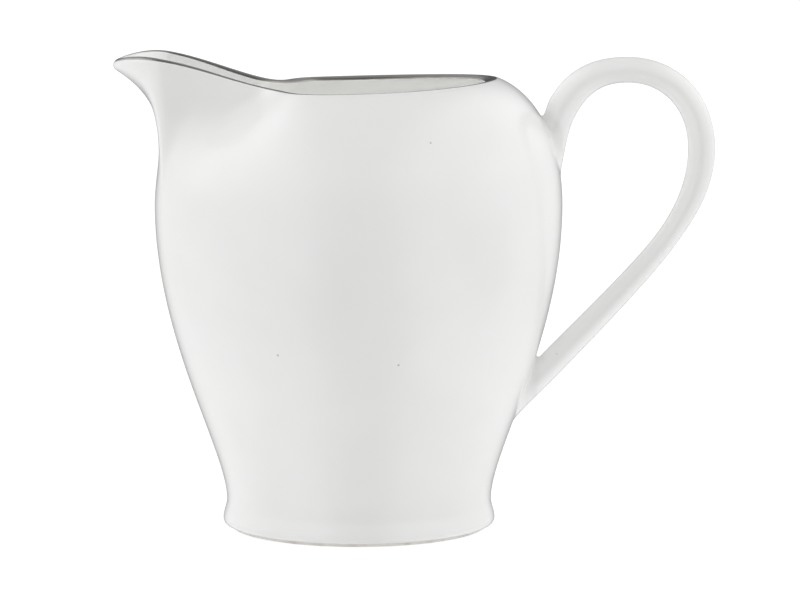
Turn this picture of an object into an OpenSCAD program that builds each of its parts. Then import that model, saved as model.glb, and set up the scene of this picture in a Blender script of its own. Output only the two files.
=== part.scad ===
// White bone china water jug with a pinched pouring lip, an ear-shaped loop
// handle and a thin platinum line on the lip.
// Millimetres. +Z is up, the handle is on +X and the spout on -X. The origin is
// the centre of the standing ring, in the plane that the jug rests on.
// The jug is the same on both sides of the plane Y = 0.

/* [Body] */
// Radius of the belly at its widest
belly_r = 62.2; // [60:0.1:66]
// Height of the widest part of the belly
belly_z = 99; // [95:0.5:102]
// Radius of the waist above the foot
waist_r = 40.6; // [38:0.2:43]
// Height of the waist above the foot
waist_z = 8.5; // [7:0.5:11]
// Radius of the flared foot
foot_r = 41.6; // [41:0.2:44]
// Thickness of the wall of the belly
wall = 2.8; // [2.2:0.1:3.6]
// Thickness of the floor above the recess under the jug
floor_t = 3.6; // [3:0.2:5]

/* [Mouth and spout] */
// Radius of the round part of the mouth
mouth_r = 41.4; // [39:0.2:44]
// Height of the lip at the handle side
rim_handle_z = 137.9; // [136:0.1:140]
// Height of the lip at its lowest, beside the throat
rim_low_z = 135.6; // [133:0.1:137]
// Height of the lip at the top of the spout
spout_z = 145.5; // [142:0.5:148]
// Height of the lip at the tip of the spout
tip_z = 144.3; // [141:0.1:145]
// How far the tip of the spout reaches from the axis
spout_reach = 74.2; // [72:0.1:76]
// Half width of the pouring channel
spout_half_w = 21.3; // [19:0.1:22]

/* [Handle] */
// Half width of the handle, across the jug
handle_half_w = 5; // [4:0.2:6]
// Half thickness of the handle where it leaves the shoulder
handle_t_root = 4.6; // [4.2:0.1:5]
// Half thickness of the handle in its middle
handle_t_mid = 3.9; // [3.4:0.1:4.4]
// Half thickness of the handle half way down its straight lower run
handle_t_low = 3.3; // [3:0.1:4]
// Height of the top of the handle's centre line
handle_top_z = 140.3; // [139:0.1:143]
// How far the handle's centre line reaches from the axis
handle_reach = 104.6; // [102:0.1:108]

/* [Joints and lip] */
// Width of the slip fillet round each end of the handle
fillet = 1.8; // [1.2:0.2:2.4]
// Depth of the platinum line at the middle of the lip
film = 0.24; // [0.16:0.02:0.3]
// Inner radius of the unglazed standing ring
ring_in_r = 35.6; // [34:0.2:37]
// Outer radius of the unglazed standing ring
ring_out_r = 39.4; // [38.4:0.2:40]
// Height of the unglazed standing ring
ring_h = 1; // [0.8:0.1:1.4]

/* [Hidden] */

china = "#F1F1EF";
bisque = "#E6E1D8";
platinum = "#9A9A98";

// --- curves -----------------------------------------------------------------

// Point at t on the cubic with the four control points p
function bezier(p, t) = p[0] * (1 - t)^3 + 3 * p[1] * t * (1 - t)^2
                      + 3 * p[2] * t^2 * (1 - t) + p[3] * t^3;
// Direction of the same cubic at t
function bezier_dir(p, t) = (p[1] - p[0]) * (1 - t)^2
                          + 2 * (p[2] - p[1]) * t * (1 - t)
                          + (p[3] - p[2]) * t^2;
// n + 1 points along a cubic, or n without the first
function bezier_run(p, n) = [for (i = [0:n]) bezier(p, i / n)];
function bezier_rest(p, n) = [for (i = [1:n]) bezier(p, i / n)];
// 0 to 1 with level ends
function ease(t) = let (c = min(1, max(0, t))) c * c * (3 - 2 * c);
// v[0] on the round mouth, v[1] beside the channel and v[2] at the tip
function along_lip(k, v) = v[0] + (v[1] - v[0]) * ease(k) + (v[2] - v[1]) * ease(k - 1);
function unit(v) = v / norm(v);
function raise(p, z) = [p[0], p[1], z];
function mirrored(p) = [p[0], -p[1], p[2]];
function reversed(list) = [for (i = [len(list) - 1:-1:0]) list[i]];

// --- outline of the lip in plan, from the handle to the tip ---------------------

arc_end = 110;    // where the round mouth turns into the throat, in degrees
arc_blend = 75;   // where the shoulder starts to change shape
arc_n = 24;
throat_n = 8;
channel_n = 4;
tip_n = 7;
half_n = arc_n + throat_n + channel_n + tip_n;

throat_start = mouth_r * [cos(arc_end), sin(arc_end)];
throat_out = [-sin(arc_end), cos(arc_end)];
channel_start = [-33, spout_half_w - 2.4];
channel_end = [-58.5, spout_half_w];
throat_curve = [throat_start, throat_start + 9 * throat_out,
                channel_start + [12.5, -1.2], channel_start];
tip_point = [-spout_reach, 0];
tip_curve = [channel_end, channel_end - [5, 0], tip_point + [0, 6.2], tip_point];

lip_plan = concat(
    [for (i = [0:arc_n]) mouth_r * [cos(arc_end * i / arc_n), sin(arc_end * i / arc_n)]],
    bezier_rest(throat_curve, throat_n),
    [for (i = [1:channel_n]) channel_start + (channel_end - channel_start) * i / channel_n],
    bezier_rest(tip_curve, tip_n));

// 0 on the round mouth, 1 beside the channel and 2 at the tip
lip_place = concat(
    [for (i = [0:arc_n]) 0.25 * max(0, (arc_end * i / arc_n - arc_blend) / (arc_end - arc_blend))],
    [for (i = [1:throat_n]) 0.25 + 0.1 * i / throat_n],
    [for (i = [1:channel_n]) 0.35 + 0.65 * i / channel_n],
    [for (i = [1:tip_n]) 1 + i / tip_n]);

function flipped(p) = [p[0], -p[1]];
function plan_before(i) = i == 0 ? flipped(lip_plan[1]) : lip_plan[i - 1];
function plan_after(i) = i == half_n ? flipped(lip_plan[half_n - 1]) : lip_plan[i + 1];
function outward(i) = let (d = unit(plan_after(i) - plan_before(i))) [d[1], -d[0], 0];

// Height of the lip over a point x of its plan: it rises a little to the
// handle, climbs to the spout and falls to the tip
low_x = -21;
crest_x = -65;
function lip_z(x) = rim_low_z
    + (rim_handle_z - rim_low_z) * max(0, (x - low_x) / (mouth_r - low_x))^2
    + (spout_z - rim_low_z) * ease((low_x - x) / (low_x - crest_x))
    - (spout_z - tip_z) * max(0, (crest_x - x) / (crest_x + spout_reach))^2;

// --- profile of the body below the belly: [radius, height] -------------------

recess_r = ring_in_r - 0.8;
recess_z = 3;
lower_n = 10;
foot_n = 5;
underside = [[recess_r * 0.5, recess_z + 0.5], [recess_r, recess_z], [ring_in_r, ring_h],
             [ring_out_r, ring_h]];
foot_curve = [[ring_out_r, ring_h], [foot_r + 2.2, ring_h], [waist_r, waist_z - 3],
              [waist_r, waist_z]];
lower_curve = [[waist_r, waist_z], [waist_r, waist_z + 15], [belly_r, belly_z - 41],
               [belly_r, belly_z]];
lower_profile = concat(underside, bezier_rest(foot_curve, foot_n),
                       bezier_rest(lower_curve, lower_n));

inner_r = belly_r - wall;
floor_z = recess_z + 0.5 + floor_t;
floor_r = 29;
heel_r = waist_r - 2.4;
heel_curve = [[floor_r, floor_z], [heel_r - 2, floor_z], [heel_r, floor_z + 2.5],
              [heel_r, floor_z + 7]];
inner_curve = [[heel_r, floor_z + 7], [heel_r, floor_z + 19], [inner_r, belly_z - 41],
               [inner_r, belly_z]];
heel_n = 4;
inner_n = 9;
inner_profile = concat([[floor_r * 0.5, floor_z]], bezier_run(heel_curve, heel_n),
                       bezier_rest(inner_curve, inner_n));

// --- one column of the body, over point i of the lip's outline -----------------

upper_n = 12;
cap_n = 8;
inside_n = 10;

function azimuth(i) = atan2(lip_plan[i][1], lip_plan[i][0]);
function turned(p, a) = [p[0] * cos(a), p[0] * sin(a), p[1]];
function lip_point(i) = raise(lip_plan[i], lip_z(lip_plan[i][0]));

// Outer and inner foot of the rounded lip, and the way the wall runs into it
function lip_outer(i) = let (k = lip_place[i]) lip_point(i)
    + outward(i) * along_lip(k, [1.6, 1.4, -0.6]) + [0, 0, along_lip(k, [-0.25, -1.5, -4.4])];
function lip_inner(i) = let (k = lip_place[i]) lip_point(i)
    + outward(i) * along_lip(k, [-2.5, -2.4, -2.8]) + [0, 0, along_lip(k, [-1.5, -1.3, -0.9])];
function lean(i, v) = let (a = along_lip(lip_place[i], v))
    raise(unit(lip_plan[i]) * sin(a), cos(a));
function wall_up(i) = lean(i, [-68, 3, 60]);
function wall_down(i) = -lean(i, [-70, 5, 60]);

function upper_curve(i) = let (k = lip_place[i], foot = turned([belly_r, belly_z], azimuth(i)),
                               top = lip_outer(i))
    [foot, foot + [0, 0, along_lip(k, [20, 24, 13.9])],
     top - wall_up(i) * along_lip(k, [12, 24, 22.4]), top];
function inside_curve(i) = let (k = lip_place[i], foot = turned([inner_r, belly_z], azimuth(i)),
                                top = lip_inner(i))
    [top, top + wall_down(i) * along_lip(k, [13.5, 24, 22.5]),
     foot + [0, 0, along_lip(k, [18.5, 21, 13.5])], foot];
function cap_curve(i) = let (k = lip_place[i], a = lip_outer(i), b = lip_inner(i))
    [a, a + wall_up(i) * along_lip(k, [1.6, 1.6, 3.4]),
     b - wall_down(i) * along_lip(k, [1.6, 1.5, 2.4]), b];

// The platinum line lies over the middle of the rounded lip, and the body is
// lower by its depth there
line_from = 2;
line_to = 7;
function lip_top(i) = bezier_run(cap_curve(i), cap_n);
function under_line(i) = let (p = cap_curve(i), mid = (p[0] + p[3]) / 2 - [0, 0, 0.4])
    [for (j = [0:cap_n]) let (c = bezier(p, j / cap_n))
        (j > line_from && j < line_to) ? c + film * unit(mid - c) : c];

function inner_steps(list, first, last) = [for (i = [first:last]) list[i]];
function column(i) = let (a = azimuth(i)) concat(
    [for (p = lower_profile) turned(p, a)],
    bezier_rest(upper_curve(i), upper_n),
    inner_steps(under_line(i), 1, cap_n),
    bezier_rest(inside_curve(i), inside_n),
    [for (p = inner_steps(reversed(inner_profile), 1, len(inner_profile) - 1)) turned(p, a)]);

// Columns all the way round: the half that was worked out and its mirror image
function all_round(half) = concat(half,
    [for (i = [len(half) - 2:-1:1]) [for (p = half[i]) mirrored(p)]]);

// --- meshes from columns ------------------------------------------------------

// Closed skin over columns that all run from one pole to the other
module poled_skin(columns, low_pole, high_pole) {
    n = len(columns);
    m = len(columns[0]);
    points = concat([for (c = columns) each c], [low_pole, high_pole]);
    sides = [for (i = [0:n - 1], j = [0:m - 2]) let (a = i * m + j, b = (i + 1) % n * m + j)
        each [[a, a + 1, b + 1], [a, b + 1, b]]];
    ends = [for (i = [0:n - 1]) let (a = i * m, b = (i + 1) % n * m)
        each [[n * m, a, b], [n * m + 1, b + m - 1, a + m - 1]]];
    polyhedron(points = points, faces = concat(sides, ends), convexity = 10);
}

// Closed ring of loops: every loop is one cross section
module looped_skin(loops) {
    n = len(loops);
    m = len(loops[0]);
    faces = [for (i = [0:n - 1], j = [0:m - 1])
        let (a = i * m + j, b = i * m + (j + 1) % m,
             c = (i + 1) % n * m + j, d = (i + 1) % n * m + (j + 1) % m)
        each [[a, b, c], [b, d, c]]];
    polyhedron(points = [for (l = loops) each l], faces = faces, convexity = 10);
}

// --- handle -------------------------------------------------------------------

section_n = 20;
// Centre line, in the plane Y = 0, as cubics of [x, z]
grip_start = [62.6, 129.6];
grip_top = [81.8, handle_top_z];
grip_far = [handle_reach, 116];
grip_knee = [94.9, 89.7];
grip_end = [58.4, 49.6];
grip_curves = [
    [grip_start, grip_start + 8.5 * [0.5, 0.87], grip_top - [8.8, 0], grip_top],
    [grip_top, grip_top + [13.2, 0], grip_far + [0, 14.5], grip_far],
    [grip_far, grip_far - [0, 11.7], grip_knee + 6.5 * [0.568, 0.823], grip_knee],
    [grip_knee, grip_knee - 12.8 * [0.568, 0.823], grip_end + 15.5 * [0.693, 0.721], grip_end]];
grip_steps = [8, 10, 7, 10];
grip_t = [handle_t_root, handle_t_mid, handle_t_mid + 0.2, handle_t_low, handle_t_mid];
grip_w = [handle_half_w + 0.3, handle_half_w, handle_half_w - 0.2, handle_half_w - 0.4,
          handle_half_w + 0.2];

// Oval section across the centre line: angle 0 is the outer side
function section(c, d, t, w) = let (m = [-unit(d)[1], unit(d)[0]])
    [for (j = [0:section_n - 1]) let (a = 360 * j / section_n)
        [c[0] + t * cos(a) * m[0], w * sin(a), c[1] + t * cos(a) * m[1]]];
function grip_sections(s) = let (p = grip_curves[s], n = grip_steps[s])
    [for (i = [s == 0 ? 0 : 1:n]) let (u = i / n)
        section(bezier(p, u), bezier_dir(p, u),
                grip_t[s] + (grip_t[s + 1] - grip_t[s]) * ease(u),
                grip_w[s] + (grip_w[s + 1] - grip_w[s]) * ease(u))];

// A point on the outside of the body on the handle's side, across by y. The
// upper profile is used for the upper end and the lower one for the lower end
function meridian(curve, t) = bezier(curve, t);
upper_profile = let (p = upper_curve(0)) [for (q = p) [q[0], q[2]]];
function on_body(curve, t, y) = let (p = meridian(curve, t)) [sqrt(p[0]^2 - y^2), y, p[1]];

// Outline of a handle end on the body: its profile, the middle and half length in
// the profile's own parameter, and the half width and half length in millimetres
upper_root = [upper_profile, 0.355, 0.175, handle_half_w + 0.6, 8.5];
lower_root = [lower_curve, 0.483, -0.103, handle_half_w + 0.6, 9.8];
function root_point(r, grow, j) = let (a = 360 * j / section_n)
    on_body(r[0], r[1] + r[2] * (1 + grow / r[4]) * cos(a), (r[3] + grow) * sin(a));
function root_ring(r, grow) = [for (j = [0:section_n - 1]) root_point(r, grow, j)];
function between(a, b, f) = [for (j = [0:len(a) - 1]) a[j] + (b[j] - a[j]) * f];
// End cap that keeps to the body: smaller copies of the root outline
function root_cap(r) = [for (f = [0.4, 0.7, 1]) [for (j = [0:section_n - 1])
    let (a = 360 * j / section_n) on_body(r[0], r[1] + f * r[2] * cos(a), f * r[3] * sin(a))]];
function root_middle(r) = on_body(r[0], r[1], 0);

grip = [for (s = [0:3]) each grip_sections(s)];
collar = 0.42;   // how far the slip reaches from the root to the free handle
upper_bridge = between(root_ring(upper_root, 0), grip[0], collar);
lower_bridge = between(root_ring(lower_root, 0), grip[len(grip) - 1], collar);
handle_rings = concat(root_cap(upper_root), [upper_bridge], grip, [lower_bridge],
                      reversed(root_cap(lower_root)));

// Slip fillet round a handle end: from the body, in a hollow curve, to the handle
function fillet_loop(r, bridge, j) = let (corner = root_point(r, 0, j),
        foot = root_point(r, fillet, j), top = bridge[j])
    concat([corner, root_point(r, fillet / 2, j), foot],
           [for (u = [0.25, 0.5, 0.75])
                foot * (1 - u)^2 + 2 * (corner * 0.8 + (foot + top) * 0.1) * u * (1 - u)
                + top * u^2],
           [top]);

// --- sub-parts ----------------------------------------------------------------

module jug_body() {
    color(china)
        poled_skin(all_round([for (i = [0:half_n]) column(i)]),
                   [0, 0, recess_z + 0.7], [0, 0, floor_z]);
}

module foot_ring() {
    color(bisque)
        rotate_extrude($fn = 96)
            polygon([[ring_in_r, ring_h], [ring_in_r + 0.3, 0], [ring_out_r - 0.5, 0],
                     [ring_out_r, ring_h]]);
}

module handle() {
    color(china) {
        rings = handle_rings;
        columns = [for (j = [section_n - 1:-1:0]) [for (r = rings) r[j]]];
        poled_skin(columns, root_middle(upper_root), root_middle(lower_root));
    }
}

function fillet_loops(r, bridge) = [for (j = [0:section_n - 1]) fillet_loop(r, bridge, j)];

module upper_handle_joint() {
    color(china)
        looped_skin(reversed(fillet_loops(upper_root, upper_bridge)));
}

module lower_handle_joint() {
    color(china)
        looped_skin(fillet_loops(lower_root, lower_bridge));
}

module platinum_rim_line() {
    loops = [for (i = [0:half_n]) concat(
        inner_steps(lip_top(i), line_from, line_to),
        reversed(inner_steps(under_line(i), line_from + 1, line_to - 1)))];
    color(platinum)
        looped_skin(all_round(loops));
}

jug_body();
foot_ring();
handle();
upper_handle_joint();
lower_handle_joint();
platinum_rim_line();
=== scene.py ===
"""White bone china jug with a platinum line on its lip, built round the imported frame.

Everything is in metres in the frame's own axes: +Z up, the handle on +X, the spout on -X, and the
origin at the middle of the standing ring. Sizes are written in millimetres times MM.
"""

import math

import bpy
import numpy as np
from bpy.props import FloatProperty, FloatVectorProperty, PointerProperty
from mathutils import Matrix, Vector


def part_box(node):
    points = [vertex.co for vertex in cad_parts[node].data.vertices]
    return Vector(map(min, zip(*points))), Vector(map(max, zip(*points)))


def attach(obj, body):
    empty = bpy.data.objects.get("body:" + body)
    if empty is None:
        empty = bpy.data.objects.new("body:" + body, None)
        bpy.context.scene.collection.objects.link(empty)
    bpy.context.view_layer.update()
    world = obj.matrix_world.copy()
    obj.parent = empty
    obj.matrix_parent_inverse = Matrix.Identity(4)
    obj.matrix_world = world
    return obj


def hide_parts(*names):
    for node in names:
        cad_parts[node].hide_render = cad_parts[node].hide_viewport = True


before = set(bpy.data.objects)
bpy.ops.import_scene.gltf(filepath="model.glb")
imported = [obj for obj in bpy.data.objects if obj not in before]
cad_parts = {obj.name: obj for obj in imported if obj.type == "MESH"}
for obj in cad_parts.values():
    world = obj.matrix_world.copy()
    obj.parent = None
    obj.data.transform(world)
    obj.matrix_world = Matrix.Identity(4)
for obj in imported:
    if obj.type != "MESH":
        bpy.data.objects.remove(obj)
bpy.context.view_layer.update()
RING_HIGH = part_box("foot_ring")[1]

bl_info = {
    "name": "China Jug",
    "version": (1, 0, 0),
    "blender": (4, 5, 0),
    "location": "3D View > Sidebar > China Jug",
    "description": "Makes a glazed bone china jug with a loop handle and a platinum line",
    "category": "Add Mesh",
}

MM = 0.001
RING_IN = 35.6 * MM      # inner radius of the standing ring, whose outer size is its CAD box


def linear(code):
    """sRGB hex to linear: c/12.92 below 0.04045, else ((c + 0.055) / 1.055) to the power 2.4."""
    parts = [int(code[i:i + 2], 16) / 255 for i in (1, 3, 5)]
    return tuple(c / 12.92 if c <= 0.04045 else ((c + 0.055) / 1.055) ** 2.4 for c in parts)


# --- sizes and colours that a user would change ---------------------------------------------

def length(name, description, mm):
    """A length property, given in millimetres and kept in metres."""
    return FloatProperty(name=name, description=description, default=mm * MM,
                         min=0.0, precision=4, subtype="DISTANCE", unit="LENGTH")


def tint(name, description, code):
    """A colour property, given as sRGB hex and kept linear."""
    return FloatVectorProperty(name=name, description=description, default=linear(code),
                               size=3, min=0.0, max=1.0, subtype="COLOR")


class JugBodySizes(bpy.types.PropertyGroup):
    """Sizes of the cast body."""
    belly_radius: length("Belly radius", "Radius of the body at its widest", 62.2)
    belly_height: length("Belly height", "Height of the widest part", 99)
    waist_radius: length("Waist radius", "Radius of the waist above the foot", 40.6)
    waist_height: length("Waist height", "Height of the waist above the foot", 8.5)
    foot_radius: length("Foot radius", "Radius of the flared foot", 41.6)
    wall: length("Wall", "Thickness of the belly's wall", 2.8)
    floor: length("Floor", "Thickness of the floor above the recess", 3.6)
    mouth_radius: length("Mouth radius", "Radius of the round part of the mouth", 41.4)
    lip_at_handle: length("Lip at the handle", "Height of the lip beside the handle", 137.9)
    lip_low: length("Lip at the throat", "Height of the lip where it is lowest", 135.6)
    lip_at_spout: length("Lip at the spout", "Height of the lip on the top of the spout", 145.5)
    lip_at_tip: length("Lip at the tip", "Height of the lip at the tip of the spout", 144.3)
    spout_reach: length("Spout reach", "Distance of the tip from the jug's axis", 74.2)
    channel: length("Channel", "Half width of the pouring channel", 21.3)
    line_depth: length("Line depth", "Depth of the platinum line at its middle", 0.24)


class JugHandleSizes(bpy.types.PropertyGroup):
    """Sizes of the loop handle and of the slip that holds it."""
    half_width: length("Half width", "Half the handle's width across the jug", 5)
    root: length("Root", "Half thickness where the handle leaves the shoulder", 4.6)
    middle: length("Middle", "Half thickness at the top of the loop", 3.9)
    lower: length("Lower run", "Half thickness half way down the straight run", 3.3)
    top: length("Top", "Height of the top of the handle's centre line", 140.3)
    reach: length("Reach", "Distance of the handle's centre line from the axis", 104.6)
    slip: length("Slip", "Width of the slip fillet round each end", 1.8)


class JugFinishes(bpy.types.PropertyGroup):
    """Colours of the glaze, the metal and the ground clay."""
    glaze: tint("Glaze", "Clear glaze over bone china", "#F8F8F7")
    thick_glaze: tint("Thick glaze", "Glaze where it has run together", "#F4F4F3")
    speck: tint("Speck", "Tiny iron specks that show through the glaze", "#BDB9B1")
    platinum: tint("Platinum", "Burnished liquid platinum", "#A8A6A3")
    thin_platinum: tint("Thin platinum", "Platinum where the brush left less", "#92908D")
    bisque: tint("Bisque", "Clay ground free of glaze", "#F0EEE9")
    grey_bisque: tint("Grey bisque", "Clay greyed by tables and stacking", "#DDDAD4")
    paper: tint("Paper", "Table top and backdrop", "#F6F6F6")


class JugStudio(bpy.types.PropertyGroup):
    """The camera and the light tent."""
    elevation: FloatProperty(name="Camera elevation", description="Camera's angle above the table",
                             default=math.radians(6.95), subtype="ANGLE", unit="ROTATION")
    distance: FloatProperty(name="Camera distance", description="From the lens to the jug",
                            default=1.256, min=0.3, subtype="DISTANCE", unit="LENGTH")
    focal: FloatProperty(name="Focal length", description="Focal length on a 36 mm sensor",
                         default=184.5, min=20, subtype="DISTANCE_CAMERA")
    aim_x: length("Aim across", "Point that the camera looks at, from the jug's axis", 12.62)
    aim_z: length("Aim height", "Height of the point that the camera looks at", 69.7)
    front_light: FloatProperty(name="Front light", description="Tent's brightness at the camera",
                               default=0.38, min=0)
    side_light: FloatProperty(name="Side light", description="Tent's brightness at the sides",
                              default=1.78, min=0)
    top_light: FloatProperty(name="Top light", description="Tent's brightness overhead",
                             default=1.1, min=0)


# --- curves and skins --------------------------------------------------------------------------

def cubic(points, t):
    """Bezier cubic: the four points weighted by (1-t)^3, 3t(1-t)^2, 3t^2(1-t) and t^3.

    A point may itself be an array of points, one for each column: rows then run along t.
    """
    t = np.asarray(t, float)
    weights = np.stack([(1 - t)**3, 3 * t * (1 - t)**2, 3 * t**2 * (1 - t), t**3], axis=-1)
    return np.tensordot(weights, np.stack([np.asarray(p, float) for p in points]), axes=(-1, 0))


def cubic_direction(points, t):
    """Direction of the same cubic: its three legs weighted by (1-t)^2, 2t(1-t) and t^2."""
    t = np.asarray(t, float)
    p = np.asarray(points, float)
    weights = np.stack([(1 - t)**2, 2 * t * (1 - t), t**2], axis=-1)
    legs = weights @ (p[1:] - p[:-1])
    return legs / np.linalg.norm(legs, axis=-1, keepdims=True)


def ease(t):
    """0 to 1 with level ends: 3t^2 - 2t^3 of t kept between 0 and 1."""
    t = np.clip(t, 0, 1)
    return t * t * (3 - 2 * t)


def steps(count, first=False):
    """Equal steps from 0 to 1, without the 0 unless first is true."""
    return np.linspace(0, 1, count + 1)[0 if first else 1:]


def soften(columns, passes):
    """Each column becomes a quarter, a half and a quarter of its left, itself and its right."""
    for _ in range(passes):
        columns = (np.roll(columns, 1, 0) + 2 * columns + np.roll(columns, -1, 0)) / 4
    return columns


def unit(v):
    """Each vector divided by its length."""
    return v / np.linalg.norm(v, axis=-1, keepdims=True)


def flat_quads(rows, columns, rows_close):
    """Quads of a grid that closes round its columns, and round its rows too if rows_close."""
    i, j = np.meshgrid(np.arange(rows if rows_close else rows - 1), np.arange(columns),
                       indexing="ij")
    up, along = (i + 1) % rows, (j + 1) % columns
    corners = [i * columns + j, i * columns + along, up * columns + along, up * columns + j]
    return np.stack(corners, axis=-1).reshape(-1, 4)


def make_piece(name, points, quads, fans, material, nodes, slot):
    """Mesh of quads and triangles turned so that its volume is positive, shown for CAD nodes.

    Volume is the sum over triangles of a . (b x c) / 6.
    """
    halves = [quads[:, [0, 1, 2]], quads[:, [0, 2, 3]], fans]
    a, b, c = (points[np.concatenate(halves)[:, k]] for k in range(3))
    if np.einsum("ij,ij->i", a, np.cross(b, c)).sum() < 0:
        quads, fans = quads[:, ::-1], fans[:, ::-1]
    mesh = bpy.data.meshes.new(name)
    mesh.from_pydata(points.tolist(), [], quads.tolist() + fans.tolist())
    mesh.polygons.foreach_set("use_smooth", np.ones(len(mesh.polygons), bool))
    mesh.materials.append(material)
    if mesh.validate():
        raise ValueError(f"{name} had faces that Blender couldn't keep")
    piece = bpy.data.objects.new(name, mesh)
    bpy.context.scene.collection.objects.link(piece)
    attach(piece, "root")
    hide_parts(*nodes)
    return piece


def poled_piece(name, grid, low_pole, high_pole, **rest):
    """Skin over rows of columns, closed at both ends by a fan to a pole."""
    rows, columns = grid.shape[:2]
    points = np.concatenate([grid.reshape(-1, 3), [low_pole, high_pole]])
    j = np.arange(columns)
    along = (j + 1) % columns
    last = (rows - 1) * columns
    low = np.stack([np.full(columns, rows * columns), along, j], axis=-1)
    high = np.stack([np.full(columns, rows * columns + 1), last + j, last + along], axis=-1)
    return make_piece(name, points, flat_quads(rows, columns, False),
                      np.concatenate([low, high]), **rest)


def ring_piece(name, grid, **rest):
    """Skin over a loop of rows, closed both ways like a tyre."""
    rows, columns = grid.shape[:2]
    return make_piece(name, grid.reshape(-1, 3), flat_quads(rows, columns, True),
                      np.zeros((0, 3), int), **rest)


# --- the body's shape -------------------------------------------------------------------------

ARC_END = 110        # degrees from the handle at which the round mouth turns into the throat
ARC_BLEND = 62       # degrees at which the shoulder starts to change shape
LINE_FROM = 0.15     # share of the rounded lip at which the platinum starts, from outside
LINE_TO = 0.875      # and at which it ends
TIP_FROM = 0.5       # the same two shares at the tip of the spout, where the line is narrower
TIP_TO = 0.75
ARC_STEPS = 66       # columns on half of the lip: round mouth, throat, channel and tip
THROAT_STEPS = 26
CHANNEL_STEPS = 12
TIP_STEPS = 24
LINE_ROWS = 17       # rows across the platinum line


def lip_outline(s):
    """Plan of the lip as an arc, a throat cubic, a straight channel and a tip cubic.

    Gives (x, y) all the way round and each point's place: 0 on the round mouth, 1 at the end
    of the channel and 2 at the tip. It stays low through the throat, so that the shoulder is
    full there, and climbs along the channel.
    """
    turn = np.radians(ARC_END) * steps(ARC_STEPS, first=True)
    start = s.mouth_radius * np.array([math.cos(turn[-1]), math.sin(turn[-1])])
    away = np.array([-math.sin(turn[-1]), math.cos(turn[-1])])
    channel_start = np.array([-33 * MM, s.channel - 2.4 * MM])
    channel_end = np.array([-58.5 * MM, s.channel])
    tip = np.array([-s.spout_reach, 0])
    throat = [start, start + 9 * MM * away, channel_start + [12.5 * MM, -1.2 * MM],
              channel_start]
    nose = [channel_end, channel_end - [5 * MM, 0], tip + [0, 6.2 * MM], tip]
    arc = s.mouth_radius * np.stack([np.cos(turn), np.sin(turn)], axis=-1)
    straight = channel_start + (channel_end - channel_start) * steps(CHANNEL_STEPS)[:, None]
    half = np.concatenate([arc, cubic(throat, steps(THROAT_STEPS)), straight,
                           cubic(nose, steps(TIP_STEPS))])
    ramp = np.clip((np.degrees(turn) - ARC_BLEND) / (ARC_END - ARC_BLEND), 0, 1)
    place = np.concatenate([0.25 * ramp**2, 0.25 + 0.1 * steps(THROAT_STEPS),
                            0.35 + 0.65 * steps(CHANNEL_STEPS), 1 + steps(TIP_STEPS)])
    around = np.concatenate([half, half[-2:0:-1] * [1, -1]])
    return soften(around, 6), soften(np.concatenate([place, place[-2:0:-1]]), 30)


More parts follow.
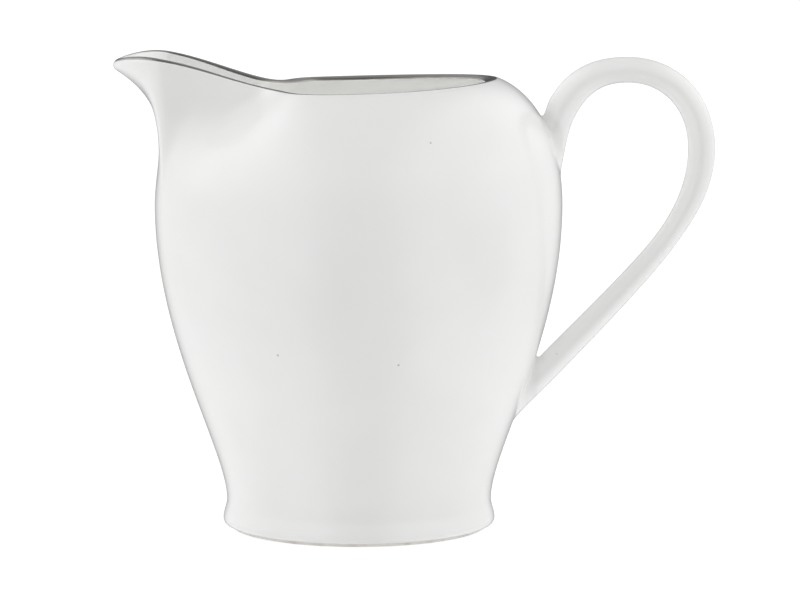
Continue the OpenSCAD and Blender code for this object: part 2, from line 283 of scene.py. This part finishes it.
class JugColumns:
    """Every column of the body as whole arrays, from the table to the lip and down inside."""

    def __init__(self, s):
        self.s = s
        self.plan, self.place = lip_outline(s)
        flat = np.concatenate([self.plan, np.zeros((len(self.plan), 1))], axis=1)
        along = np.roll(self.plan, -1, 0) - np.roll(self.plan, 1, 0)
        self.outward = unit(np.stack([along[:, 1], -along[:, 0], 0 * self.place], axis=-1))
        self.radial = unit(flat)
        self.up = np.array([0.0, 0.0, 1.0])
        self.lip = flat + self.height(self.plan[:, 0])[:, None] * self.up
        # Each triple is for the mouth, the end of the channel and the tip, in mm or degrees.
        self.outer_foot = self.off_lip([1.6, 1.4, -0.6], [-0.25, -1.5, -4.4])
        self.inner_foot = self.off_lip([-2.5, -2.4, -2.8], [-1.5, -1.3, -0.9])
        self.wall_up = self.lean([-68, 3, 60])
        self.wall_down = -self.lean([-70, 5, 60])

    def blend(self, mouth, channel, tip):
        """A value for each column: eased from the mouth's to the channel's to the tip's."""
        k = self.place
        return mouth + (channel - mouth) * ease(k) + (tip - channel) * ease(k - 1)

    def height(self, x):
        """Lip's height: low + a square rise to the handle + an eased climb - a square fall."""
        s = self.s
        low_x = -21 * MM
        crest_x = -65 * MM
        rise = np.maximum(0, (x - low_x) / (s.mouth_radius - low_x))**2
        climb = ease((low_x - x) / (low_x - crest_x))
        fall = np.maximum(0, (crest_x - x) / (crest_x + s.spout_reach))**2
        return (s.lip_low + (s.lip_at_handle - s.lip_low) * rise
                + (s.lip_at_spout - s.lip_low) * climb - (s.lip_at_spout - s.lip_at_tip) * fall)

    def off_lip(self, out, rise):
        """Lip moved out along its outline and up, by blended millimetres."""
        return (self.lip + self.outward * self.blend(*out)[:, None] * MM
                + self.up * self.blend(*rise)[:, None] * MM)

    def lean(self, degrees):
        """Upward unit vector leaning away from the axis by blended degrees."""
        a = np.radians(self.blend(*degrees))[:, None]
        return self.radial * np.sin(a) + self.up * np.cos(a)

    def turned(self, profile):
        """Profile of (radius, height) carried round the axis at every column's own angle."""
        r, z = np.asarray(profile, float).T
        return r[:, None, None] * self.radial + z[:, None, None] * self.up

    def outside_points(self):
        """Cubic's points from the belly, upright, to the lip's outer foot, leaning as the wall."""
        s = self.s
        foot = s.belly_radius * self.radial + s.belly_height * self.up
        rise = self.blend(20, 24, 13.9)[:, None] * MM
        run = self.blend(12, 24, 22.4)[:, None] * MM
        return np.stack([foot, foot + rise * self.up, self.outer_foot - run * self.wall_up,
                         self.outer_foot])

    def inside(self, t):
        """Cubic from the lip's inner foot down to the inside of the belly."""
        s = self.s
        foot = (s.belly_radius - s.wall) * self.radial + s.belly_height * self.up
        run = self.blend(13.5, 24, 22.5)[:, None] * MM
        rise = self.blend(18.5, 21, 13.5)[:, None] * MM
        return cubic([self.inner_foot, self.inner_foot + run * self.wall_down,
                      foot + rise * self.up, foot], t)

    def rounded_lip(self, t, depth=0.0):
        """Cubic over the lip from outer to inner foot, pushed in by depth where the line lies.

        u, the cubic's own parameter, is t stretched column by column, so that the line's edges
        fall at the same t all the way round though the line is narrower at the tip. The depth
        is full across the line and falls to nothing at its edges as 1 - q^6, where q runs from
        -1 to 1 across it.
        """
        outer = self.blend(1.6, 1.6, 3.4)[:, None] * MM
        inner = self.blend(1.6, 1.5, 2.4)[:, None] * MM
        points = np.stack([self.outer_foot, self.outer_foot + outer * self.wall_up,
                           self.inner_foot - inner * self.wall_down, self.inner_foot])
        start = self.blend(LINE_FROM, LINE_FROM, TIP_FROM)
        end = self.blend(LINE_TO, LINE_TO, TIP_TO)
        before = np.minimum(t / LINE_FROM, 1)[:, None] * start
        across = np.clip((t - LINE_FROM) / (LINE_TO - LINE_FROM), 0, 1)[:, None] * (end - start)
        after = np.maximum((t - LINE_TO) / (1 - LINE_TO), 0)[:, None] * (1 - end)
        u = before + across + after
        # The same sum as in cubic(), with a parameter that differs from column to column.
        over = sum(w[..., None] * p for w, p in zip(
            ((1 - u)**3, 3 * u * (1 - u)**2, 3 * u**2 * (1 - u), u**3), points))
        middle = (self.outer_foot + self.inner_foot) / 2 - 0.4 * MM * self.up
        q = np.clip(2 * (t - LINE_FROM) / (LINE_TO - LINE_FROM) - 1, -1, 1)
        return over + unit(middle - over) * (depth * (1 - q**6))[:, None, None]


def lower_curve(s):
    """Cubic profile from the waist up to the belly."""
    return [[s.waist_radius, s.waist_height], [s.waist_radius, s.waist_height + 15 * MM],
            [s.belly_radius, s.belly_height - 41 * MM], [s.belly_radius, s.belly_height]]


def body_grid(columns):
    """Rows from the recess, round the foot, up outside, over the lip and down to the floor."""
    s = columns.s
    ring_out = RING_HIGH.x
    ring_top = RING_HIGH.z
    recess = [[2 * MM, 3.7 * MM], [20 * MM, 3.7 * MM], [33 * MM, 3.9 * MM], [34.9 * MM, 2.6 * MM]]
    heel = [[34.9 * MM, 2.6 * MM], [35.3 * MM, 2 * MM], [RING_IN, 1.6 * MM], [RING_IN, ring_top]]
    foot = [[ring_out, ring_top], [s.foot_radius + 2.2 * MM, ring_top],
            [s.waist_radius, s.waist_height - 3 * MM], [s.waist_radius, s.waist_height]]
    under = np.concatenate([cubic(recess, steps(8, first=True)), cubic(heel, steps(4)),
                            cubic(foot, steps(16, first=True)), cubic(lower_curve(s), steps(44))])
    bottom = 3.5 * MM + s.floor
    inner = s.belly_radius - s.wall
    heel_in = s.waist_radius - 2.4 * MM
    side = [[inner, s.belly_height], [inner, s.belly_height - 41 * MM],
            [heel_in, bottom + 19 * MM], [heel_in, bottom + 7 * MM]]
    corner = [[heel_in, bottom + 7 * MM], [heel_in, bottom + 2.5 * MM],
              [heel_in - 2 * MM, bottom], [29 * MM, bottom]]
    base = [[29 * MM, bottom], [20 * MM, bottom], [11 * MM, bottom], [2 * MM, bottom]]
    within = np.concatenate([cubic(side, steps(36)), cubic(corner, steps(10)),
                             cubic(base, steps(4))])
    over = columns.rounded_lip(lip_steps(), s.line_depth)
    grid = np.concatenate([columns.turned(under), cubic(columns.outside_points(), steps(50)), over[1:],
                           columns.inside(steps(44)), columns.turned(within)])
    return grid, [0, 0, 3.7 * MM], [0, 0, bottom]


def lip_steps():
    """Steps over the rounded lip, closest together under the platinum line."""
    return np.concatenate([np.linspace(0, LINE_FROM, 5)[:-1],
                           np.linspace(LINE_FROM, LINE_TO, LINE_ROWS),
                           np.linspace(LINE_TO, 1, 4)[1:]])


# --- the handle's shape -----------------------------------------------------------------------

class HandleEnd:
    """Where an end of the handle sits on the body: an oval drawn on the body's own profile."""

    def __init__(self, profile, middle, half, half_width, half_length):
        self.profile = profile
        self.middle = middle
        self.half = half
        self.half_width = half_width
        self.half_length = half_length

    def oval(self, angles, grow=0.0, sunk=0.0, share=1.0):
        """Oval on the body: profile at middle + half cos(a), across by half width times sin(a).

        grow widens it in metres, sunk takes it under the surface and share shrinks it whole.
        """
        reach = self.half * (1 + grow / self.half_length)
        r, z = cubic(self.profile, self.middle + share * reach * np.cos(angles)).T
        y = share * (self.half_width + grow) * np.sin(angles)
        return np.stack([np.sqrt((r - sunk)**2 - y**2), y, z], axis=-1)


class HandleShape:
    """The handle as rings of points, from the shoulder round the loop to the lower body."""

    def __init__(self, s, columns):
        body = columns.s
        self.s = s
        self.angles = np.linspace(0, 2 * np.pi, 48, endpoint=False)
        start = np.array([62.6, 129.6]) * MM
        top = np.array([81.8 * MM, s.top])
        far = np.array([s.reach, 116 * MM])
        knee = np.array([94.9, 89.7]) * MM
        end = np.array([58.4, 49.6]) * MM
        start_way = np.array([0.5, 0.87])
        knee_way = np.array([0.568, 0.823])
        end_way = np.array([0.693, 0.721])
        self.curves = [
            [start, start + 8.5 * MM * start_way, top - [8.8 * MM, 0], top],
            [top, top + [13.2 * MM, 0], far + [0, 14.5 * MM], far],
            [far, far - [0, 11.7 * MM], knee + 6.5 * MM * knee_way, knee],
            [knee, knee - 12.8 * MM * knee_way, end + 15.5 * MM * end_way, end]]
        self.thick = [s.root, s.middle, s.middle + 0.2 * MM, s.lower, s.middle]
        self.wide = [s.half_width + 0.3 * MM, s.half_width, s.half_width - 0.2 * MM,
                     s.half_width - 0.4 * MM, s.half_width + 0.2 * MM]
        shoulder = columns.outside_points()[:, 0, [0, 2]]
        across = s.half_width + 0.6 * MM
        self.upper = HandleEnd(shoulder, 0.355, 0.175, across, 8.5 * MM)
        self.lower = HandleEnd(np.array(lower_curve(body)), 0.483, -0.103, across, 9.8 * MM)
        self.loop = self.free_rings()

    def free_rings(self):
        """Oval rings across the centre line: t cos(a) along its normal and w sin(a) across."""
        rings_on_curve = (26, 34, 24, 36)
        rings = []
        for k, count in enumerate(rings_on_curve):
            u = steps(count, first=k == 0)
            centre = cubic(self.curves[k], u)
            along = cubic_direction(self.curves[k], u)
            thick = self.thick[k] + (self.thick[k + 1] - self.thick[k]) * ease(u)
            wide = self.wide[k] + (self.wide[k + 1] - self.wide[k]) * ease(u)
            out = thick[:, None] * np.cos(self.angles)
            rings.append(np.stack([centre[:, :1] - out * along[:, 1:],
                                   wide[:, None] * np.sin(self.angles),
                                   centre[:, 1:] + out * along[:, :1]], axis=-1))
        return np.concatenate(rings)

    def flare(self, end, ring, away, t):
        """Cubic from the oval on the body to the first free ring, straight at the body.

        away is the centre line's direction away from the body, and the flare meets the free
        ring along it.
        """
        root = end.oval(self.angles)
        gap = ring - root
        reach = 0.36 * np.linalg.norm(gap, axis=-1, keepdims=True)
        return cubic([root, root + 0.36 * gap, ring - reach * away, ring], t)

    def ends(self):
        """Each end with its first free ring and the direction away from the body."""
        first = cubic_direction(self.curves[0], 0.0)
        last = -cubic_direction(self.curves[3], 1.0)
        return [(self.upper, self.loop[0], np.array([first[0], 0, first[1]])),
                (self.lower, self.loop[-1], np.array([last[0], 0, last[1]]))]

    def grid(self):
        """Rows from inside the upper wall, round the loop, to inside the lower wall."""
        depth = 1.2 * MM
        t = steps(12, first=True)[:-1]
        (upper, first, away), (lower, last, back) = self.ends()
        # Under the wall the skin closes to a pole by way of a half size oval.
        hidden = [upper.oval(self.angles, sunk=depth, share=0.5)[None],
                  upper.oval(self.angles, sunk=depth)[None]]
        buried = [lower.oval(self.angles, sunk=depth)[None],
                  lower.oval(self.angles, sunk=depth, share=0.5)[None]]
        return np.concatenate(hidden + [self.flare(upper, first, away, t), self.loop,
                                        self.flare(lower, last, back, t)[::-1]] + buried)

    def poles(self):
        """The two points that close the handle inside the body's wall."""
        zero = np.array([0.0])
        return [end.oval(zero, sunk=1.2 * MM, share=0.0)[0] for end in (self.upper, self.lower)]

    def slip_grid(self, end, ring, away):
        """Loop across the slip fillet: a hollow cubic from the body to the handle, tucked in.

        Both ends of the cubic run on a little way under the surfaces that they meet, so that
        the shading runs on too, and the loop closes inside the clay.
        """
        slip = self.s.slip
        corner = end.oval(self.angles)
        foot = end.oval(self.angles, grow=slip, sunk=0.008 * MM)
        meet, past, inner = self.flare(end, ring, away, np.array([0.5, 0.58, 0.3]))
        axis = ring.mean(axis=0)
        past = past + 0.12 * MM * unit(axis - past)
        inner = inner + 0.8 * MM * unit(axis - inner)
        hollow = cubic([foot, foot + 0.7 * (corner - foot), meet + 0.7 * (corner - meet), meet],
                       steps(14, first=True))
        tail = [end.oval(self.angles, grow=slip + 0.35 * MM, sunk=0.05 * MM)[None],
                end.oval(self.angles, grow=slip + 0.6 * MM, sunk=0.4 * MM)[None]]
        back = [past[None], inner[None], end.oval(self.angles, sunk=0.8 * MM)[None]]
        return np.concatenate([tail[1], tail[0], hollow] + back)


# --- materials --------------------------------------------------------------------------------

def add_node(tree, kind, inputs=None, **settings):
    """Add a node, set its settings, and give each input a value or a link from an output."""
    made = tree.nodes.new(kind)
    for name, value in settings.items():
        setattr(made, name, value)
    for name, value in (inputs or {}).items():
        if isinstance(value, bpy.types.NodeSocket):
            tree.links.new(value, made.inputs[name])
        else:
            made.inputs[name].default_value = value
    return made


def start_material(name):
    """Empty node material with an output, and the object's own coordinates in metres."""
    material = bpy.data.materials.new(name)
    material.use_nodes = True
    material.node_tree.nodes.clear()
    tree = material.node_tree
    place = add_node(tree, "ShaderNodeTexCoord").outputs["Object"]
    return material, tree, place


def rgba(colour):
    """A colour property with full alpha."""
    return (*colour, 1.0)


def glazed_bone_china(finishes):
    """Bone china: cast, biscuit fired, dipped in clear glaze and fired again.

    The clay is a faintly warm white that lets a little light in. The glaze over it is glassy
    but not flat: it undulates over 10 mm or so, lies thicker and greyer in patches a few
    centimetres wide, and here and there a speck of iron half a millimetre across shows.
    """
    material, tree, place = start_material("glazed_bone_china")
    patches = add_node(tree, "ShaderNodeTexNoise", {"Vector": place, "Scale": 1 / (38 * MM),
                                                    "Detail": 2.0, "Roughness": 0.45})
    spread = add_node(tree, "ShaderNodeMapRange", {"Value": patches.outputs["Fac"],
                                                   "From Min": 0.35, "From Max": 0.65},
                      interpolation_type="SMOOTHSTEP")
    body = add_node(tree, "ShaderNodeMix", {0: spread.outputs["Result"],
                                            6: rgba(finishes.glaze),
                                            7: rgba(finishes.thick_glaze)}, data_type="RGBA")
    # One cell in a grid of 15 mm holds a point, and a few points lie near enough to the
    # surface to show as a speck 0.5 mm across.
    cells = add_node(tree, "ShaderNodeTexVoronoi", {"Vector": place, "Scale": 1 / (15 * MM)})
    speck = add_node(tree, "ShaderNodeMapRange", {"Value": cells.outputs["Distance"],
                                                  "From Min": 0.018, "From Max": 0.03,
                                                  "To Min": 0.8, "To Max": 0.0},
                     interpolation_type="SMOOTHSTEP")
    colour = add_node(tree, "ShaderNodeMix", {0: speck.outputs["Result"],
                                              6: body.outputs[2],
                                              7: rgba(finishes.speck)}, data_type="RGBA")
    waves = add_node(tree, "ShaderNodeTexNoise", {"Vector": place, "Scale": 1 / (11 * MM),
                                                  "Detail": 1.0})
    relief = add_node(tree, "ShaderNodeBump", {"Height": waves.outputs["Fac"],
                                               "Strength": 1.0, "Distance": 0.03 * MM})
    gloss = add_node(tree, "ShaderNodeMapRange", {"Value": waves.outputs["Fac"],
                                                  "To Min": 0.3, "To Max": 0.38})
    shader = add_node(tree, "ShaderNodeBsdfPrincipled", {
        "Base Color": colour.outputs[2], "Roughness": gloss.outputs["Result"], "IOR": 1.5,
        "Subsurface Weight": 0.2, "Subsurface Radius": (1.0, 0.99, 0.97),
        "Subsurface Scale": 1.6 * MM, "Coat Weight": 0.6, "Coat Roughness": 0.06,
        "Coat IOR": 1.5, "Normal": relief.outputs["Normal"],
        "Coat Normal": relief.outputs["Normal"]})
    add_node(tree, "ShaderNodeOutputMaterial", {"Surface": shader.outputs["BSDF"]})
    return material


def burnished_platinum(finishes):
    """Liquid bright platinum, banded on with a brush over the glaze and fired at 800 C.

    It is a mirror a few thousandths of a millimetre thick. The brush leaves streaks along the
    line some 0.4 mm wide, and where it thins it is a little darker and less sharp.
    """
    material, tree, place = start_material("burnished_platinum")
    lengthways = add_node(tree, "ShaderNodeUVMap", uv_map="along_the_line").outputs["UV"]
    stretched = add_node(tree, "ShaderNodeMapping", {"Vector": lengthways,
                                                     "Scale": (0.06, 1.0, 1.0)})
    streaks = add_node(tree, "ShaderNodeTexNoise", {"Vector": stretched.outputs["Vector"],
                                                    "Scale": 1 / 0.4, "Detail": 2.0})
    thin = add_node(tree, "ShaderNodeMapRange", {"Value": streaks.outputs["Fac"],
                                                 "From Min": 0.45, "From Max": 0.75},
                    interpolation_type="SMOOTHSTEP")
    colour = add_node(tree, "ShaderNodeMix", {0: thin.outputs["Result"],
                                              6: rgba(finishes.platinum),
                                              7: rgba(finishes.thin_platinum)},
                      data_type="RGBA")
    gloss = add_node(tree, "ShaderNodeMapRange", {"Value": streaks.outputs["Fac"],
                                                  "To Min": 0.08, "To Max": 0.2})
    wander = add_node(tree, "ShaderNodeTexNoise", {"Vector": place, "Scale": 1 / (2.5 * MM)})
    relief = add_node(tree, "ShaderNodeBump", {"Height": wander.outputs["Fac"],
                                               "Strength": 1.0, "Distance": 0.01 * MM})
    shader = add_node(tree, "ShaderNodeBsdfPrincipled", {
        "Base Color": colour.outputs[2], "Metallic": 1.0,
        "Roughness": gloss.outputs["Result"], "Normal": relief.outputs["Normal"]})
    add_node(tree, "ShaderNodeOutputMaterial", {"Surface": shader.outputs["BSDF"]})
    return material


def ground_bisque(finishes):
    """Bone china clay, wiped and ground free of glaze so that the jug doesn't stick in the kiln.

    It is dead matt with a fine tooth. The grit is under 0.1 mm, drawn as 0.35 mm to show, and
    the clay is greyer in patches where it has rubbed on other ware.
    """
    material, tree, place = start_material("ground_bisque")
    rubbed = add_node(tree, "ShaderNodeTexNoise", {"Vector": place, "Scale": 1 / (6 * MM),
                                                   "Detail": 3.0})
    share = add_node(tree, "ShaderNodeMapRange", {"Value": rubbed.outputs["Fac"],
                                                  "From Min": 0.45, "From Max": 0.7})
    colour = add_node(tree, "ShaderNodeMix", {0: share.outputs["Result"],
                                              6: rgba(finishes.bisque),
                                              7: rgba(finishes.grey_bisque)},
                      data_type="RGBA")
    grit = add_node(tree, "ShaderNodeTexNoise", {"Vector": place, "Scale": 1 / (0.35 * MM),
                                                 "Detail": 2.0})
    relief = add_node(tree, "ShaderNodeBump", {"Height": grit.outputs["Fac"],
                                               "Strength": 1.0, "Distance": 0.05 * MM})
    tooth = add_node(tree, "ShaderNodeMapRange", {"Value": grit.outputs["Fac"],
                                                  "To Min": 0.82, "To Max": 0.95})
    shader = add_node(tree, "ShaderNodeBsdfPrincipled", {
        "Base Color": colour.outputs[2], "Roughness": tooth.outputs["Result"], "IOR": 1.5,
        "Normal": relief.outputs["Normal"]})
    add_node(tree, "ShaderNodeOutputMaterial", {"Surface": shader.outputs["BSDF"]})
    return material


def made_once(make, finishes):
    """The material that make gives, kept for the next piece that asks for it."""
    found = bpy.data.materials.get(make.__name__)
    return found or make(finishes)


# --- operators --------------------------------------------------------------------------------

class JUG_OT_body(bpy.types.Operator):
    """Make the glazed body: foot, belly, shoulder, spout, rounded lip and hollow inside"""
    bl_idname = "jug.body"
    bl_label = "Jug body"

    def execute(self, context):
        scene = context.scene
        grid, low, high = body_grid(JugColumns(scene.jug_body_sizes))
        poled_piece("glazed_jug_body", grid, low, high,
                    material=made_once(glazed_bone_china, scene.jug_finishes),
                    nodes=["jug_body"], slot="glazed_china")
        return {"FINISHED"}


class JUG_OT_foot_ring(bpy.types.Operator):
    """Make the ground standing ring under the foot"""
    bl_idname = "jug.foot_ring"
    bl_label = "Standing ring"

    def execute(self, context):
        ring_out, top = RING_HIGH.x, RING_HIGH.z
        inner = cubic([[RING_IN, top], [RING_IN + 0.02 * MM, 0.3 * MM],
                       [RING_IN + 0.3 * MM, 0], [RING_IN + 0.9 * MM, 0]], steps(10, first=True))
        outer = cubic([[ring_out - 0.9 * MM, 0], [ring_out - 0.3 * MM, 0],
                       [ring_out - 0.02 * MM, 0.3 * MM], [ring_out, top]], steps(10, first=True))
        tucked = [[ring_out - 0.4 * MM, top + 0.15 * MM], [RING_IN + 0.4 * MM, top + 0.15 * MM]]
        profile = np.concatenate([inner, outer, tucked])
        turn = np.linspace(0, 2 * np.pi, 256, endpoint=False)
        r, z = profile.T
        grid = np.stack([r[:, None] * np.cos(turn), r[:, None] * np.sin(turn),
                         z[:, None] + 0 * turn], axis=-1)
        ring_piece("ground_foot_ring", grid,
                   material=made_once(ground_bisque, context.scene.jug_finishes),
                   nodes=["foot_ring"], slot="bisque")
        return {"FINISHED"}


class JUG_OT_handle(bpy.types.Operator):
    """Make the loop handle and the slip fillets that join it to the body"""
    bl_idname = "jug.handle"
    bl_label = "Handle and joints"

    def execute(self, context):
        scene = context.scene
        china = made_once(glazed_bone_china, scene.jug_finishes)
        shape = HandleShape(scene.jug_handle_sizes, JugColumns(scene.jug_body_sizes))
        poled_piece("loop_handle", shape.grid(), *shape.poles(), material=china,
                    nodes=["handle"], slot="glazed_china")
        for name, (end, ring, away) in zip(("upper", "lower"), shape.ends()):
            ring_piece(f"{name}_handle_slip", shape.slip_grid(end, ring, away), material=china,
                       nodes=[f"{name}_handle_joint"], slot="glazed_china")
        return {"FINISHED"}


class JUG_OT_platinum_line(bpy.types.Operator):
    """Make the platinum line that runs over the whole lip"""
    bl_idname = "jug.platinum_line"
    bl_label = "Platinum line"

    def execute(self, context):
        scene = context.scene
        columns = JugColumns(scene.jug_body_sizes)
        t = np.linspace(LINE_FROM, LINE_TO, LINE_ROWS)
        above = columns.rounded_lip(t, -0.02 * MM)
        below = columns.rounded_lip(t[1:-1], scene.jug_body_sizes.line_depth)[::-1]
        grid = np.concatenate([above, below])
        piece = ring_piece("platinum_lip_line", grid,
                           material=made_once(burnished_platinum, scene.jug_finishes),
                           nodes=["platinum_rim_line"], slot="platinum")
        self.lay_along(piece.data, columns, grid.shape)
        return {"FINISHED"}

    def lay_along(self, mesh, columns, shape):
        """UV map in millimetres: u along the lip from the handle, v across the line."""
        gaps = np.linalg.norm(np.diff(columns.lip, axis=0), axis=1)
        along = np.concatenate([[0], np.cumsum(gaps)]) / MM
        u = np.tile(along, shape[0])
        row_gap = 0.2
        v = np.repeat(np.arange(shape[0]) * row_gap, shape[1])
        index = np.zeros(len(mesh.loops), np.int32)
        mesh.loops.foreach_get("vertex_index", index)
        layer = mesh.uv_layers.new(name="along_the_line")
        layer.data.foreach_set("uv", np.stack([u[index], v[index]], axis=-1).ravel())


class JUG_OT_studio(bpy.types.Operator):
    """Make the table, the light tent and the camera"""
    bl_idname = "jug.studio"
    bl_label = "Studio"

    def execute(self, context):
        scene = context.scene
        self.make_table(scene)
        self.make_tent(scene)
        self.make_snoot(scene)
        self.make_camera(scene)
        scene.view_settings.view_transform = "Standard"
        scene.cycles.diffuse_bounces = 8
        return {"FINISHED"}

    def make_table(self, scene):
        """Pale paper, lit from below as well, so that it stays white round the foot."""
        half = 14.0
        mesh = bpy.data.meshes.new("studio_table")
        mesh.from_pydata([(-half, -half, 0), (half, -half, 0), (half, half, 0), (-half, half, 0)],
                         [], [(0, 1, 2, 3)])
        material, tree, place = start_material("backlit_paper")
        fibres = add_node(tree, "ShaderNodeTexNoise", {"Vector": place, "Scale": 1 / (2 * MM)})
        tone = add_node(tree, "ShaderNodeMapRange", {"Value": fibres.outputs["Fac"],
                                                     "To Min": 0.43, "To Max": 0.47})
        paper = add_node(tree, "ShaderNodeMix", {0: tone.outputs["Result"],
                                                 6: (0, 0, 0, 1),
                                                 7: rgba(scene.jug_finishes.paper)},
                         data_type="RGBA")
        # It glows a little everywhere and rather more for the camera, which whitens it.
        rays = add_node(tree, "ShaderNodeLightPath")
        glow = add_node(tree, "ShaderNodeMath", {0: rays.outputs["Is Camera Ray"], 1: 0.35,
                                                 2: 0.45}, operation="MULTIPLY_ADD")
        shader = add_node(tree, "ShaderNodeBsdfPrincipled", {
            "Base Color": paper.outputs[2], "Roughness": 0.9, "Specular IOR Level": 0.0,
            "Emission Color": rgba(scene.jug_finishes.paper),
            "Emission Strength": glow.outputs[0]})
        add_node(tree, "ShaderNodeOutputMaterial", {"Surface": shader.outputs["BSDF"]})
        mesh.materials.append(material)
        table = bpy.data.objects.new("studio_table", mesh)
        scene.collection.objects.link(table)
        table.visible_glossy = False

    def make_tent(self, scene):
        """White tent, brighter at both sides, with dark parts that only gloss sees.

        The camera itself sees plain white behind the jug.
        """
        studio = scene.jug_studio
        world = bpy.data.worlds.new("light_tent")
        world.use_nodes = True
        tree = world.node_tree
        tree.nodes.clear()
        look = add_node(tree, "ShaderNodeTexCoord").outputs["Generated"]
        split = add_node(tree, "ShaderNodeSeparateXYZ", {0: look})
        across = add_node(tree, "ShaderNodeMath", {0: split.outputs["X"]}, operation="ABSOLUTE")

        def ramp(value, low, high, start, end):
            made = add_node(tree, "ShaderNodeMapRange", {
                "Value": value, "From Min": low, "From Max": high, "To Min": start,
                "To Max": end}, interpolation_type="SMOOTHSTEP")
            return made.outputs["Result"]

        def join(kind, a, b):
            return add_node(tree, "ShaderNodeMath", {0: a, 1: b}, operation=kind).outputs[0]

        # What lights the glaze: walls that brighten to both sides, under a roof.
        walls = ramp(across.outputs[0], 0.1, 0.9, studio.front_light, studio.side_light)
        roof = ramp(split.outputs["Z"], 0.6, 0.9, 0.0, 1.0)
        soft = add_node(tree, "ShaderNodeMix", {0: roof, 2: walls, 3: studio.top_light},
                        data_type="FLOAT").outputs[0]
        # What gloss reflects: a bright box at each side, grey above the horizon, a darker
        # patch straight overhead, and a bright table.
        boxes = ramp(across.outputs[0], 0.18, 0.6, 0.12, 1.15)
        above = ramp(split.outputs["Z"], 0.08, 0.3, 0.0, 0.42)
        patch = ramp(split.outputs["Z"], 0.7, 0.92, 0.0, -0.24)
        below = ramp(split.outputs["Z"], -0.25, -0.8, 0.0, 0.8)
        gloss = join("ADD", join("ADD", boxes, patch), join("ADD", above, below))
        rays = add_node(tree, "ShaderNodeLightPath")
        seen = add_node(tree, "ShaderNodeMix", {0: rays.outputs["Is Glossy Ray"], 2: soft,
                                                3: gloss}, data_type="FLOAT").outputs[0]
        final = add_node(tree, "ShaderNodeMix", {0: rays.outputs["Is Camera Ray"], 2: seen,
                                                 3: 1.1}, data_type="FLOAT").outputs[0]
        light = add_node(tree, "ShaderNodeBackground", {"Strength": final})
        add_node(tree, "ShaderNodeOutputWorld", {"Surface": light.outputs[0]})
        scene.world = world

    def make_snoot(self, scene):
        """Narrow lamp straight above the mouth, which lights only the hollow inside."""
        rise = 0.8
        beam_radius = 30 * MM
        data = bpy.data.lights.new("snoot", "SPOT")
        data.energy = 62.0
        data.spot_size = 2 * math.atan(beam_radius / rise)
        data.spot_blend = 0.4
        data.shadow_soft_size = 0.01
        lamp = bpy.data.objects.new("snoot", data)
        lamp.location = (0, 0, scene.jug_body_sizes.lip_low + rise)
        lamp.visible_glossy = False
        scene.collection.objects.link(lamp)

    def make_camera(self, scene):
        """Long lens that looks along +Y and a little down."""
        studio = scene.jug_studio
        data = bpy.data.cameras.new("studio_camera")
        data.sensor_width = 36
        data.lens = studio.focal
        data.clip_end = 100
        camera = bpy.data.objects.new("studio_camera", data)
        e = studio.elevation
        back = Vector((0, -math.cos(e), math.sin(e)))
        camera.location = Vector((studio.aim_x, 0, studio.aim_z)) + back * studio.distance
        camera.rotation_euler = (math.pi / 2 - e, 0, 0)
        scene.collection.objects.link(camera)
        scene.camera = camera


class VIEW3D_PT_china_jug(bpy.types.Panel):
    """Lists the jug's sizes and the pieces that can be made"""
    bl_label = "China Jug"
    bl_idname = "VIEW3D_PT_china_jug"
    bl_space_type = "VIEW_3D"
    bl_region_type = "UI"
    bl_category = "China Jug"

    def draw(self, context):
        scene = context.scene
        for title, group in (("Body", scene.jug_body_sizes), ("Handle", scene.jug_handle_sizes),
                             ("Finishes", scene.jug_finishes), ("Studio", scene.jug_studio)):
            box = self.layout.box()
            box.label(text=title)
            for name in group.__annotations__:
                box.prop(group, name)
        for operator in OPERATORS:
            self.layout.operator(operator.bl_idname)


OPERATORS = (JUG_OT_studio, JUG_OT_body, JUG_OT_foot_ring, JUG_OT_handle, JUG_OT_platinum_line)
GROUPS = {"jug_body_sizes": JugBodySizes, "jug_handle_sizes": JugHandleSizes,
          "jug_finishes": JugFinishes, "jug_studio": JugStudio}


def register():
    for group in GROUPS.values():
        bpy.utils.register_class(group)
    for name, group in GROUPS.items():
        setattr(bpy.types.Scene, name, PointerProperty(type=group))
    for item in (*OPERATORS, VIEW3D_PT_china_jug):
        bpy.utils.register_class(item)


def unregister():
    for item in reversed((*OPERATORS, VIEW3D_PT_china_jug)):
        bpy.utils.unregister_class(item)
    for name, group in GROUPS.items():
        delattr(bpy.types.Scene, name)
        bpy.utils.unregister_class(group)


def main():
    register()
    bpy.ops.jug.studio()
    bpy.ops.jug.body()
    bpy.ops.jug.foot_ring()
    bpy.ops.jug.handle()
    bpy.ops.jug.platinum_line()


if __name__ == "__main__":
    main()
